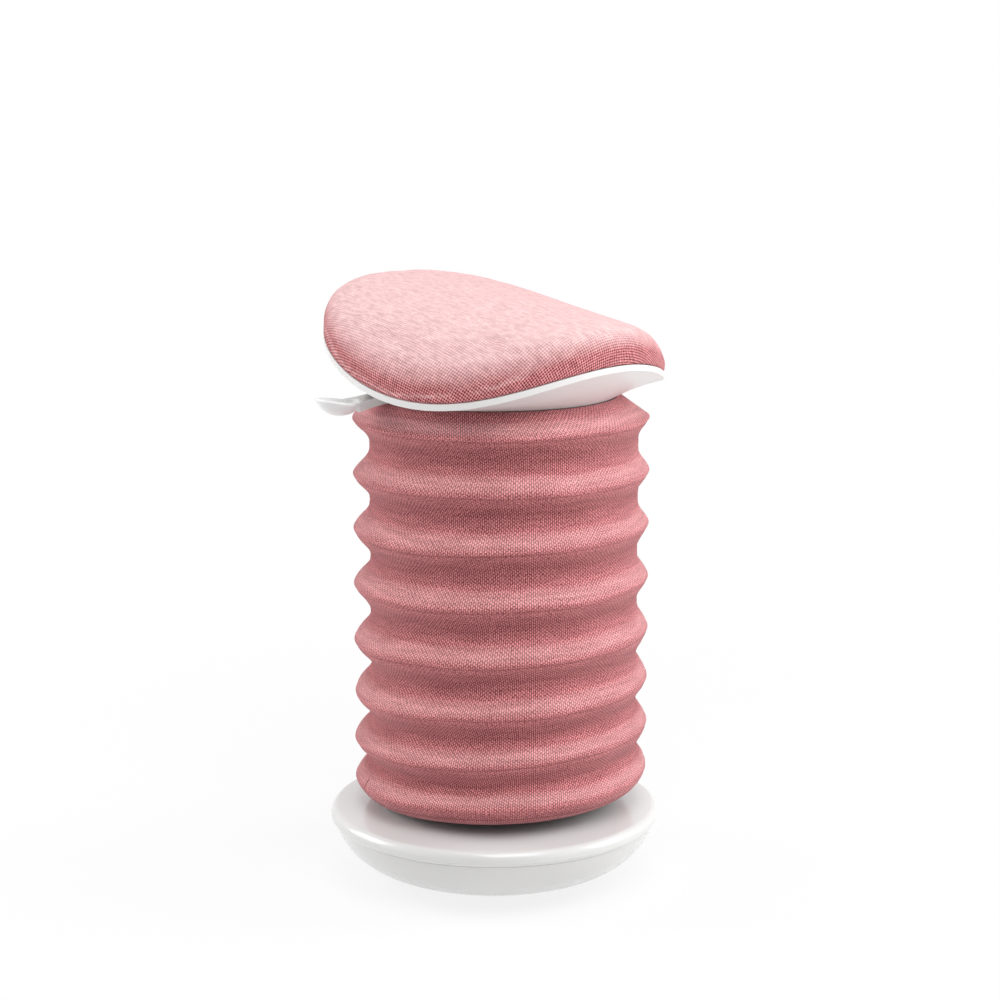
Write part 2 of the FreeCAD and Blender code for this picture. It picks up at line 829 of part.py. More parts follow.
def make_bracket():
    half = lever_half_width + slide_gap
    outside = half + bracket_sheet
    low = plate_top
    start = pivot_distance - bracket_half_length
    sheet = Part.makeBox(2 * bracket_half_length, 2 * outside, bracket_sheet,
                         FreeCAD.Vector(start, -outside, low))
    ear = wire_of(
        (start, low), (start + 2 * bracket_half_length, low),
        (pivot_distance + lever_hub_radius, pivot_height),
        (pivot_distance, pivot_height + lever_hub_radius,
         pivot_distance - lever_hub_radius, pivot_height))
    for side in (-outside, half):
        plate = Part.Face(ear).extrude(FreeCAD.Vector(0, bracket_sheet, 0))
        plate.translate(FreeCAD.Vector(0, side, 0))
        sheet = sheet.fuse(plate)
    hole = across(lever_pin_radius, outside)
    return lever_turn(sheet.removeSplitter().cut(hole))


def across(radius, half_length):
    """A cylinder on the lever's pivot axis, before it is turned to the lever's direction."""
    return Part.makeCylinder(
        radius, 2 * half_length, FreeCAD.Vector(pivot_distance, -half_length, pivot_height),
        FreeCAD.Vector(0, 1, 0))


def make_lever_pin():
    outside = lever_half_width + slide_gap + bracket_sheet
    pin = across(lever_pin_radius, outside)
    for start in (-outside - lever_pin_head_thickness, outside):
        head = Part.makeCylinder(
            lever_pin_head, lever_pin_head_thickness,
            FreeCAD.Vector(pivot_distance, start, pivot_height), FreeCAD.Vector(0, 1, 0))
        pin = pin.fuse(head)
    return lever_turn(pin.removeSplitter())


def make_lever():
    """Finger, hub, arm and a round spoon of a paddle, drawn along +X and then turned."""
    half = lever_arm_thickness / 2
    arm_end_height = pivot_height - lever_arm_drop
    finger_low = cylinder_top + release_pin_stand + seat_gap
    finger_start = -lever_finger_reach
    side_outline = wire_of(
        (finger_start, finger_low), (pivot_distance - lever_hub_radius, finger_low),
        (pivot_distance + lever_hub_radius, pivot_height - half),
        (lever_arm_end, arm_end_height - half), (lever_arm_end, arm_end_height + half),
        (pivot_distance, pivot_height + half + 1),
        (finger_start, finger_low + lever_finger_thickness))
    width = 2 * (lever_half_width + lever_neck_flare)
    side = Part.Face(side_outline).extrude(FreeCAD.Vector(0, width, 0))
    side.translate(FreeCAD.Vector(0, -width / 2, 0))
    arm = side.common(plan_of_lever())
    arm = arm.fuse(across(lever_hub_radius, lever_half_width)).removeSplitter()
    arm = arm.cut(across(lever_pin_radius + running_fit, lever_half_width))
    spoon, inside = make_paddle()
    return lever_turn(arm.cut(inside).fuse(spoon).removeSplitter())


def make_paddle():
    """The spoon, a cap cut from a hollow ball, and the ball's inside, which trims the arm."""
    ball_radius = (paddle_radius**2 + paddle_depth**2) / (2 * paddle_depth)
    rim_middle = point(paddle_distance, pivot_height - paddle_drop)
    centre = rim_middle + up * (ball_radius - paddle_depth)
    inside = Part.makeSphere(ball_radius - paddle_wall, centre)
    span = 2 * ball_radius
    above = Part.makeCylinder(span, 2 * span, rim_middle, up)
    spoon = Part.makeSphere(ball_radius, centre).cut(inside).cut(above)
    rim_edges = [edge for edge in spoon.Edges if abs(edge.BoundBox.ZMax - edge.BoundBox.ZMin) < 1e-6]
    spoon = spoon.makeFillet(paddle_rim_round, rim_edges)
    for part in (spoon, inside):
        part.rotate(rim_middle, FreeCAD.Vector(0, -1, 0), paddle_tilt)
    return spoon, inside


def plan_of_lever():
    """The lever seen from above: the narrow finger, the arm and its flared neck."""
    neck = pivot_distance - bracket_half_length
    flare = lever_arm_end - lever_neck_length
    bend = flare + lever_neck_length / 2
    narrow = lever_half_width
    wide = lever_half_width + lever_neck_flare
    bottom = FreeCAD.Vector(0, 0, shell_floor_height - cutting_margin)
    edges = []
    for side in (-1, 1):
        corners = [
            FreeCAD.Vector(x, side * y, 0) + bottom for x, y in (
                (-lever_finger_reach - 1, lever_finger_half_width), (neck, narrow),
                (flare, narrow), (bend, narrow + lever_neck_flare / 4), (lever_arm_end, wide))]
        edges.append(Part.LineSegment(corners[0], corners[1]).toShape())
        edges.append(Part.LineSegment(corners[1], corners[2]).toShape())
        edges.append(Part.Arc(*corners[2:]).toShape())
        ends = (corners[0], corners[-1])
        if side < 0:
            first_ends = ends
    for start, end in zip(first_ends, ends):
        edges.append(Part.LineSegment(start, end).toShape())
    outline = Part.Wire(Part.sortEdges(edges)[0])
    return Part.Face(outline).extrude(up * (2 * cutting_margin + pivot_stand))


def make_mechanism():
    save("seat_plate", make_plate())
    save("taper_socket", make_socket())
    save("lever_bracket", make_bracket())
    save("lever_pin", make_lever_pin())
    save("release_lever", make_lever())
    save("plate_screws", screws(
        plate_screw_places, plate_screw_radius, plate_screw_head, plate_screw_head_height,
        shell_floor_height, plate_top))
    save("ring_screws", screws(
        ring_screw_places, ring_screw_radius, ring_screw_head, ring_screw_head_height,
        plate_height, ring_screw_tip))


# Bellows

def crest_height(fold):
    """The height of a fold's crest: an even pitch that closes up in the slack lower folds."""
    slack = max(0, fold - slack_from_fold)
    return bellows_top - top_crest_drop - fold_pitch * fold + slack_gain * slack**2


def crest_droop(fold):
    """How much a crest hangs lower on one side; the last one is held up by the hem."""
    return hem_droop if fold == last_fold else droop_per_fold * fold


def fold_roundness(fold):
    """How full a fold is: small where the cloth is drawn tight, large where it is slack."""
    return 0.22 + 0.50 * fold / last_fold


def tilted(shape, height, droop, shift=bellows_shift):
    """Put a piece drawn at the origin on the bellows' line, tipped to its high side."""
    high_side = math.radians(droop_direction)
    axis = FreeCAD.Vector(math.sin(high_side), -math.cos(high_side), 0)
    angle = math.degrees(math.atan2(droop, fold_crest_radius))
    place = FreeCAD.Vector(shift * math.cos(high_side), shift * math.sin(high_side), height)
    shape.Placement = FreeCAD.Placement(place, FreeCAD.Rotation(axis, angle))
    return shape


def bellows_stations():
    """Radius, height, droop and shift of each circle of the bellows, four to a fold."""
    first = crest_height(0)
    full = bellows_shift
    stations = [
        (fabric_top_radius, bellows_top, 0.0, 0.0),
        (fold_valley_radius, first + neck_valley_share * top_crest_drop, 0.0, full / 2),
        (fold_crest_radius - neck_shoulder_drop, first + neck_shoulder_rise, 0.0, full)]
    for fold in range(fold_count):
        here = crest_height(fold)
        droop = crest_droop(fold)
        stations.append((fold_crest_radius, here, droop, full))
        if fold == last_fold:
            break
        below = crest_height(fold + 1)
        lean = crest_droop(fold + 1) - droop
        shoulder = fold_valley_radius + fold_swing * fold_roundness(fold)
        for share, radius in ((0.25, shoulder), (0.5, fold_valley_radius), (0.75, shoulder)):
            shift = full + valley_shift * (1 - 2 * abs(share - 0.5))
            stations.append((radius, here + share * (below - here), droop + share * lean, shift))
    last = crest_height(last_fold)
    stations.append((fold_crest_radius - hem_shoulder_drop, last - hem_drop / 2, hem_droop, full))
    stations.append((hem_radius + 4.0, last - hem_drop * 0.85, hem_droop, full))
    stations.append((hem_radius, last - hem_drop, hem_droop, full))
    return stations


def cloth_loft(stations, inset):
    """A ruled solid through the circles, with every seam on the same side."""
    wires = []
    for radius, height, droop, shift in stations:
        circle = Part.Circle(origin, up, radius - inset).toShape()
        wires.append(Part.Wire(tilted(circle, height, droop, shift)))
    return Part.makeLoft(wires, True, True)


def make_bellows():
    stations = bellows_stations()
    outside = cloth_loft(stations, 0)
    top_radius, top_height, top_droop, top_shift = stations[0]
    low_radius, low_height, low_droop, low_shift = stations[-1]
    inner = [(top_radius, top_height + 3, top_droop, top_shift)] + stations
    inner.append((low_radius, low_height - 3, low_droop, low_shift))
    return outside.cut(cloth_loft(inner, fabric_thickness))


def crest_slope(fold):
    """How fast the cloth falls away from a crest on its steeper side."""
    if fold == 0:
        return neck_shoulder_drop / neck_shoulder_rise
    quarter = (crest_height(fold - 1) - crest_height(fold)) / 4
    return (fold_swing * (1 - fold_roundness(fold - 1)) + valley_shift / 2) / quarter


def make_hoops():
    """One flat hoop inside each crest, as wide as the cloth leaves room for."""
    bodies = []
    for fold in range(fold_count):
        outer = fold_crest_radius - fabric_thickness - seat_gap
        outer -= crest_slope(fold) * hoop_width / 2
        hoop = ring(outer, outer - hoop_thickness, -hoop_width / 2, hoop_width / 2)
        bodies.append(tilted(hoop, crest_height(fold), crest_droop(fold)))
    return Part.makeCompound(bodies)


def make_top_ring():
    body = ring(ring_outer_radius, ring_outer_radius - top_ring_width,
                shell_floor_height - top_ring_height, shell_floor_height)
    for hole in rods(ring_screw_places, ring_screw_radius, ring_screw_tip, shell_floor_height):
        body = body.cut(hole)
    return body


def make_hem_ring():
    outer = hem_radius - fabric_thickness - seat_gap
    body = ring(outer, outer - hem_ring_thickness, 0, hem_ring_width)
    height = crest_height(last_fold) - hem_drop + contact_gap
    return tilted(body, height, hem_droop)


def make_soft_parts():
    save("bellows_cover", make_bellows())
    save("fold_hoops", make_hoops())
    save("bellows_top_ring", make_top_ring())
    save("hem_ring", make_hem_ring())


make_foot()
make_column()
make_seat()
make_mechanism()
make_soft_parts()
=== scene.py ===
# %% [markdown]
# # A wobble stool, dressed
#
# The stool has four things to show: a white foot that rocks, a knitted bellows in eight
# folds, a white saddle-shaped shell with its lever, and a knitted pad. Inside are the
# column and the gas spring. All of it arrives as plain solids in one shared frame. This
# script gives every solid its finish, makes the soft pieces anew, and sets up the studio.

# %% Load the frame
import json
import math

import bpy
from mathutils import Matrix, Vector


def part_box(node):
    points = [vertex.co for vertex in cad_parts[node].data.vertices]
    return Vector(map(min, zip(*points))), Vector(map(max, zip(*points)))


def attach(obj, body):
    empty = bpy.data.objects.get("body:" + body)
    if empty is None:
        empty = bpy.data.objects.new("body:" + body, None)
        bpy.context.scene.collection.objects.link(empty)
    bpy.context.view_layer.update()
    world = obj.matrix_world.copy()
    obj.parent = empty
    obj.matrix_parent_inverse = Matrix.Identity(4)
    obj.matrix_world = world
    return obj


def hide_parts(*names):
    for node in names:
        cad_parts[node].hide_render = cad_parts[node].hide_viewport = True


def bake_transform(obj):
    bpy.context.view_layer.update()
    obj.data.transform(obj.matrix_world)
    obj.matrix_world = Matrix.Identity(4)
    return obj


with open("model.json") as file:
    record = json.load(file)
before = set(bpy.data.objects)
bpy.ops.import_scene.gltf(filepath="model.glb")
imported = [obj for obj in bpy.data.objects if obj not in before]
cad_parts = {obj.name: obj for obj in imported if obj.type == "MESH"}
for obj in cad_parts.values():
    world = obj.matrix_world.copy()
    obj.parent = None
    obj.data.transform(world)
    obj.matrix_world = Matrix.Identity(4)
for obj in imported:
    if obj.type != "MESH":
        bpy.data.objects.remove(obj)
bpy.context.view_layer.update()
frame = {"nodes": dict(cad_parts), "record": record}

MM = 0.001

# %% [markdown]
# ## Wires
#
# Shader and geometry trees both use Math nodes. Wiring them by hand hides the formula, so
# one small class stands for an output socket and takes part in sums. `add` makes any other
# node: its settings first, because they can change its sockets, then values and wires.

# %% One class for sums of sockets
class Wire:
    """One output socket of a node tree."""

    def __init__(self, tree, socket):
        self.tree = tree
        self.socket = socket

    def out(self, name):
        """Another output of the same node."""
        return Wire(self.tree, self.socket.node.outputs[name])

    def math(self, operation, *values):
        return add(self.tree, "ShaderNodeMath", {"operation": operation},
                   dict(enumerate((self,) + values)))

    def __add__(self, other):
        return self.math("ADD", other)

    def __mul__(self, other):
        return self.math("MULTIPLY", other)

    def __sub__(self, other):
        return self.math("SUBTRACT", other)

    def __rsub__(self, other):
        return self * -1.0 + other

    def __truediv__(self, other):
        return self.math("DIVIDE", other)

    def __pow__(self, other):
        return self.math("POWER", other)

    __radd__ = __add__
    __rmul__ = __mul__

    def clamped(self, low=0.0, high=1.0):
        return self.math("MAXIMUM", low).math("MINIMUM", high)

    def step(self, low, high):
        """0 below low, 1 above high, and an even ramp between them."""
        return ((self - low) / (high - low)).clamped()


def feed(tree, socket, value):
    """Give a socket a wire or a plain value."""
    if isinstance(value, Wire):
        tree.links.new(value.socket, socket)
    else:
        socket.default_value = value


def add(tree, kind, settings=None, values=None, out=0):
    """A new node with its settings, then its values and wires."""
    node = tree.nodes.new(kind)
    for name, value in (settings or {}).items():
        setattr(node, name, value)
    for name, value in (values or {}).items():
        feed(tree, node.inputs[name], value)
    return Wire(tree, node.outputs[out])


def vector(x=0.0, y=0.0, z=0.0):
    """A vector of three wires or values, of which one at least is a wire."""
    tree = next(part.tree for part in (x, y, z) if isinstance(part, Wire))
    return add(tree, "ShaderNodeCombineXYZ", None, {"X": x, "Y": y, "Z": z})


def parts_of(wire):
    """The X, Y and Z of a vector."""
    apart = add(wire.tree, "ShaderNodeSeparateXYZ", None, {0: wire})
    return apart, apart.out("Y"), apart.out("Z")


def noise(place, scale, detail=2.0, roughness=0.5):
    """A noise whose grain is about one metre divided by the scale."""
    return add(place.tree, "ShaderNodeTexNoise", {"noise_dimensions": "3D"},
               {"Vector": place, "Scale": scale, "Detail": detail, "Roughness": roughness})


def mix(factor, first, second, blend="MIX"):
    """A colour between two others."""
    tree = next(part.tree for part in (factor, first, second) if isinstance(part, Wire))
    return add(tree, "ShaderNodeMix", {"data_type": "RGBA", "blend_type": blend},
               {0: factor, 6: first, 7: second}, out=2)


def bump(height, distance, strength=1.0):
    return add(height.tree, "ShaderNodeBump", None,
               {"Height": height, "Distance": distance, "Strength": strength})


def opaque(colour, share=1.0):
    """A colour with its alpha, darkened or lightened by a share."""
    return (*[min(1.0, part * share) for part in colour], 1.0)


# %% [markdown]
# ## Finishes
#
# A finish is a function that fills one tree and returns what goes into the surface shader.
# Moulded plastic is never quite flat or evenly glossy: it has a faint waviness from the
# mould and slightly duller patches where hands have been. Noises do that, and they are kept
# weak, because a patch with an edge would look like a stain on white plastic. Pictures of
# surfaces would need seams and files, and a noise needs neither.

# %% A material from a function
def finish(name, fill, *details):
    """A material whose surface inputs come from a function."""
    made = bpy.data.materials.new(name)
    made.use_nodes = True
    tree = made.node_tree
    place = add(tree, "ShaderNodeTexCoord").out("Object")
    shader = tree.nodes["Principled BSDF"]
    for socket, value in fill(place, *details).items():
        feed(tree, shader.inputs[socket], value)
    return made


def moulded(place, colour, gloss, coat=0.0):
    """Injection-moulded plastic: slight ripple, dull patches, a breath of colour."""
    patches = noise(place, 14.0, 3.0)
    ripples = noise(place, 60.0, 2.0)
    grain = noise(place, 1400.0, 1.0)
    return {"Base Color": mix(patches, opaque(colour, 0.97), opaque(colour)),
            "Roughness": gloss + patches * 0.03,
            "Coat Weight": coat, "Coat Roughness": 0.12,
            "Normal": bump(ripples * 0.7 + grain * 0.3, 0.06 * MM)}


def metal(place, colour, gloss, brushed=0.0):
    """Bare or plated metal, with turning marks round the column where it is brushed."""
    x, y, z = parts_of(place)
    marks = noise(vector(x * 3, y * 3, z * 90), 30.0, 2.0)
    spots = noise(place, 90.0, 3.0)
    shade = mix(spots.step(0.4, 0.75), opaque(colour), opaque(colour, 0.82))
    return {"Base Color": shade, "Metallic": 1.0, "Roughness": gloss + spots * 0.12,
            "Normal": bump(marks * brushed + spots * 0.2, 0.03 * MM)}


def coated(place, colour, gloss):
    """Powder coat: a fine orange peel over an even colour."""
    peel = noise(place, 900.0, 2.0)
    wear_and_painted_light = noise(place, 35.0, 4.0)
    shade = mix(wear_and_painted_light.step(0.55, 0.8), opaque(colour), opaque(colour, 1.35))
    return {"Base Color": shade, "Roughness": gloss + peel * 0.15,
            "Normal": bump(peel, 0.05 * MM)}


def rubbery(place, colour):
    """Moulded rubber: dull, with a fine pebbled skin."""
    pebble = noise(place, 700.0, 2.0)
    dust = noise(place, 25.0, 4.0)
    dusty = opaque([part + 0.12 for part in colour])
    shade = mix(dust.step(0.45, 0.75) * 0.4, opaque(colour), dusty)
    return {"Base Color": shade, "Roughness": 0.75 + pebble * 0.2,
            "Normal": bump(pebble, 0.12 * MM)}


PLY = 1.5 * MM


def plywood(place, light, dark):
    """Moulded plywood: long grain on the faces, thin plies at the edge."""
    x, y, z = parts_of(place)
    grain = noise(vector(x * 1.5, y * 14, z * 14), 18.0, 5.0, 0.6)
    plies = (z * (2 * math.pi / PLY)).math("SINE") * 0.12
    shade = mix((grain + plies).step(0.35, 0.7), opaque(light), opaque(dark))
    return {"Base Color": shade, "Roughness": 0.6 + grain * 0.2,
            "Normal": bump(grain, 0.1 * MM)}


def sponge(place, colour):
    """Cut foam: open cells, a little yellowed."""
    cells = add(place.tree, "ShaderNodeTexVoronoi", None, {"Vector": place, "Scale": 650.0})
    age = noise(place, 12.0, 3.0)
    shade = mix(age.step(0.4, 0.8), opaque(colour), opaque(colour, 0.85))
    return {"Base Color": shade, "Roughness": 0.95, "Normal": bump(cells, 0.4 * MM)}


# %% Finishes of the solids, by the record's material slots
SLOT_FINISHES = {
    # The foot's white is darker and the lever's lighter than the shell's: painted shade on
    # the foot and painted light on the lever, for how each is lit.
    "foot_plastic": finish("white foot plastic", moulded, (0.74, 0.74, 0.735), 0.22, 0.35),
    "shell_plastic": finish("white shell plastic", moulded, (0.80, 0.795, 0.785), 0.34,
                            0.15),
    "lever_plastic": finish("white lever plastic", moulded, (0.83, 0.83, 0.83), 0.26, 0.3),
    "dark_plastic": finish("dark moulded plastic", moulded, (0.03, 0.03, 0.032), 0.5),
    "hoop_plastic": finish("natural nylon", moulded, (0.66, 0.65, 0.60), 0.45),
    "sole_rubber": finish("grey sole rubber", rubbery, (0.10, 0.10, 0.105)),
    "bumper_rubber": finish("black bumper rubber", rubbery, (0.02, 0.02, 0.02)),
    "ballast_iron": finish("painted casting", coated, (0.055, 0.055, 0.06), 0.55),
    "column_paint": finish("black column coat", coated, (0.015, 0.015, 0.017), 0.35),
    "plate_steel": finish("black plate coat", coated, (0.02, 0.02, 0.022), 0.45),
    "zinc_steel": finish("zinc-plated steel", metal, (0.60, 0.60, 0.58), 0.30, 0.5),
    "bearing_steel": finish("ground bearing steel", metal, (0.56, 0.56, 0.57), 0.18, 0.8),
    "cage_brass": finish("stamped brass", metal, (0.60, 0.42, 0.16), 0.30, 0.2),
    "rod_chrome": finish("hard chrome", metal, (0.70, 0.70, 0.72), 0.08, 0.4),
    "valve_aluminium": finish("turned aluminium", metal, (0.66, 0.66, 0.68), 0.28, 1.0),
    "board_wood": finish("seat plywood", plywood, (0.52, 0.36, 0.20), (0.40, 0.25, 0.12)),
    "foam": finish("seat foam", sponge, (0.78, 0.70, 0.45)),
}
dressed = 0
for row in frame["record"]["subparts"]:
    finished = SLOT_FINISHES.get(row["material_slot"])
    if finished:
        solid = frame["nodes"][row["node"]]
        solid.data.materials.clear()
        solid.data.materials.append(finished)
        dressed += 1
print("finishes:", len(SLOT_FINISHES), "solids dressed:", dressed)

# %% [markdown]
# ## The knit
#
# The cloth is a fine knit of two yarns. Seen close it is a square field of small loops with
# a deeper shade of rose between them. On the pad the loops lie square to the stool, and on
# the bellows the same cloth is cut on the bias so that it stretches, which turns the field
# by half a right angle. Modelled loops would number many thousands, and each is under
# three millimetres wide, so colour and bump carry them: sums and products of cosines give
# both fields. The yarn itself is mottled, so a noise drawn out along the rows makes some
# stretches paler and some darker. A little sheen stands for the fuzz that lights up where
# cloth turns away from the eye.

# %% Knit from stitch coordinates
TURN = 2 * math.pi
ROSE_LOOP, ROSE_GAP = (0.90, 0.35, 0.365, 1), (0.13, 0.012, 0.016, 1)
# Paler loop and gap colours, mixed in by pale as painted light.
PAINTED_LIGHT_LOOP, PAINTED_LIGHT_GAP = (0.90, 0.64, 0.64, 1), (0.70, 0.44, 0.44, 1)
DARK_YARN, PALE_YARN = (0.80, 0.75, 0.76, 1), (1.12, 1.14, 1.14, 1)
FUZZ = (1.0, 0.60, 0.61, 1)
LOOP_RELIEF = 0.5 * MM


def square_loops(across, along):
    """0 between the loops and 1 on them, from places counted in loops."""
    return ((across * TURN).math("COSINE") + (along * TURN).math("COSINE")) * 0.25 + 0.5


def bias_loops(across, along):
    """The same cloth turned by half a right angle, drawn out into columns."""
    field = (across * TURN).math("COSINE") * (along * TURN).math("COSINE")
    columns = (across * (2 * TURN)).math("COSINE")
    return field * 0.24 + columns * 0.22 + 0.5


def knitted(loops, flecks, yarn, pale, sheen):
    """The knit's shader inputs. pale is 1 where the colour is painted paler, as painted
    light.
    """
    loops = (loops + (flecks - 0.5) * 1.1).step(0.20, 0.80)
    # pale mixes in painted light: paler loops and gaps where the light falls strongly.
    loop = mix(pale, ROSE_LOOP, PAINTED_LIGHT_LOOP)
    gap = mix(pale, ROSE_GAP, PAINTED_LIGHT_GAP)
    cloth = mix(loops, gap, loop)
    mottle = mix(yarn.step(0.34, 0.66), DARK_YARN, PALE_YARN)
    return {"Base Color": mix(0.9, cloth, mottle, "MULTIPLY"),
            "Roughness": 0.94, "Specular IOR Level": 0.25, "Sheen Weight": sheen,
            "Sheen Roughness": 0.45, "Sheen Tint": FUZZ,
            "Normal": bump(loops * (1.0 - pale * 0.6), LOOP_RELIEF, 0.7)}


print("the knit has loops", ROSE_LOOP[:3], "and gaps", ROSE_GAP[:3])


# %% [markdown]
# ## The bellows
#
# The bellows is a sewn tube of knit, held out by a hoop in every fold. It follows a rule:
# down the tube the radius swings between crest and valley, at the top the cloth is drawn
# tight so the crests are narrow, and lower down it goes slack so they are full. A grid is
# therefore enough, where a cloth simulation would lose the even folds. Its X becomes the
# way round and its Y the way down, and Math nodes place every point. The stitch coordinates
# are stored as the UV map before the grid is bent.
#
# Places down the cloth are counted in folds from the first crest, so whole numbers are
# crests and halves are valleys. A neck joins the first crest to the shell, and below the
# last crest come the hem and what is tucked in behind it.

# %% Sizes of the bellows
cloth_low, cloth_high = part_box("bellows_cover")
BELLOWS = {
    "Top height": cloth_high.z,
    "Top radius": 129.5 * MM,
    "Crest radius": 154.0 * MM,
    "Valley radius": 140.5 * MM,
    "Neck drop": 23.5 * MM,
    "Pitch": 57.4 * MM,
    "Slack gain": 2.4 * MM,
    "Droop per fold": 1.6 * MM,
    "Hem lift": 6.2 * MM,
    "Shift": 7.0 * MM,
    "Valley shift": 3.0 * MM,
    "High side": math.radians(-45.0),
    "Hem drop": 20.5 * MM,
    "Hem radius": 134.0 * MM,
    "Tuck": 9.0 * MM,
    "Hoop ridge": 1.0 * MM,
    "Stitch depth": 0.6 * MM,
    "Crease depth": 1.5 * MM,
    "Seed": 4.0,
}
FOLDS = 8
LAST = FOLDS - 1.0
NECK = 0.5
HEM = 0.55
TUCK = 0.15
LENGTH = LAST + NECK + HEM + TUCK
LOOPS_ROUND = 206
LOOP_ROWS = 138
CLOTH_STEPS = (193, 497)
print("cloth from", round(cloth_low.z, 3), "to", round(cloth_high.z, 3), "m")


# %% A geometry tree with named inputs
def new_tree(name, sizes):
    tree = bpy.data.node_groups.new(name, "GeometryNodeTree")
    face = tree.interface
    for label in sizes:
        face.new_socket(label, in_out="INPUT", socket_type="NodeSocketFloat")
    face.new_socket("Finish", in_out="INPUT", socket_type="NodeSocketMaterial")
    face.new_socket("Geometry", in_out="OUTPUT", socket_type="NodeSocketGeometry")
    given = add(tree, "NodeGroupInput")
    return tree, {label: given.out(label) for label in list(sizes) + ["Finish"]}


def close_tree(tree, geometry, material):
    """Realize the instances, set the material and end the tree."""
    real = add(tree, "GeometryNodeRealizeInstances", None, {"Geometry": geometry})
    done = add(tree, "GeometryNodeSetMaterial", None,
               {"Geometry": real, "Material": material})
    end = tree.nodes.new("NodeGroupOutput")
    tree.links.new(done.socket, end.inputs[0])


def grown(name, tree, sizes, material):
    """Run a tree once and keep its result as a plain smooth mesh."""
    seed = bpy.data.objects.new(name + "_seed", bpy.data.meshes.new(name + "_seed"))
    bpy.context.collection.objects.link(seed)
    modifier = seed.modifiers.new("Grow", "NODES")
    modifier.node_group = tree
    given = dict(sizes, Finish=material)
    for item in tree.interface.items_tree:
        if item.in_out == "INPUT":
            modifier[item.identifier] = given[item.name]
    view = bpy.context.evaluated_depsgraph_get()
    mesh = bpy.data.meshes.new_from_object(seed.evaluated_get(view), depsgraph=view)
    bpy.data.objects.remove(seed)
    mesh.name = name
    mesh.polygons.foreach_set("use_smooth", [True] * len(mesh.polygons))
    piece = bpy.data.objects.new(name, mesh)
    bpy.context.collection.objects.link(piece)
    print(name, "faces:", len(mesh.polygons))
    return piece


# %% The stitching, shared by the cloth and its knit
STITCH_BELOW_CREST = 0.062
STITCH_WIDTH = 0.016
SEAM_IN_HEM = 0.38
SEAM_ROUND = 0.4375
SEAM_WIDTH = 0.0022


def groove(offset, middle, half_width):
    """1 in the middle of a narrow band and 0 outside it."""
    share = (offset - middle) / half_width
    return (1.0 - share * share).clamped()


def sewn_lines(share_round, share_down):
    """A line under each crest, one above the hem, and the hem's short seam."""
    place = share_down * LENGTH - NECK
    under_crest = groove(place - place.math("ROUND"), STITCH_BELOW_CREST, STITCH_WIDTH)
    under_crest = under_crest * place.math("LESS_THAN", LAST - 0.5)
    under_crest = under_crest * place.math("GREATER_THAN", 0.0)
    above_hem = groove(place, LAST + HEM * SEAM_IN_HEM, STITCH_WIDTH)
    upright = groove(share_round, SEAM_ROUND, SEAM_WIDTH)
    upright = upright * place.math("GREATER_THAN", LAST - 0.2)
    return under_crest, above_hem.math("MAXIMUM", upright)


# %% The fold's rule, shared by the cloth and its hoops
SLACK_FROM = 4.0


def crest_line(size, fold):
    """Height and droop at a fold number, which may lie between two crests."""
    slack = (fold - SLACK_FROM).math("MAXIMUM", 0.0)
    height = (size["Top height"] - size["Neck drop"] - size["Pitch"] * fold
              + size["Slack gain"] * slack * slack)
    held = (fold - (FOLDS - 2.0)).clamped()
    droop = size["Droop per fold"] * fold - size["Hem lift"] * held
    return height, droop


def bent_point(size, angle, radius, height, droop, shift):
    """A point on a circle of the bellows, tipped up to its high side and shifted to it."""
    toward = (angle - size["High side"]).math("COSINE")
    x = angle.math("COSINE") * radius + size["High side"].math("COSINE") * shift
    y = angle.math("SINE") * radius + size["High side"].math("SINE") * shift
    return vector(x, y, height + droop * toward * radius / size["Crest radius"])


# %% The cloth's tree
FULL_AT_TOP = 1.9
FULL_LOST = 1.25
RIDGE_SHARPNESS = 30.0
SAG = 7 * MM


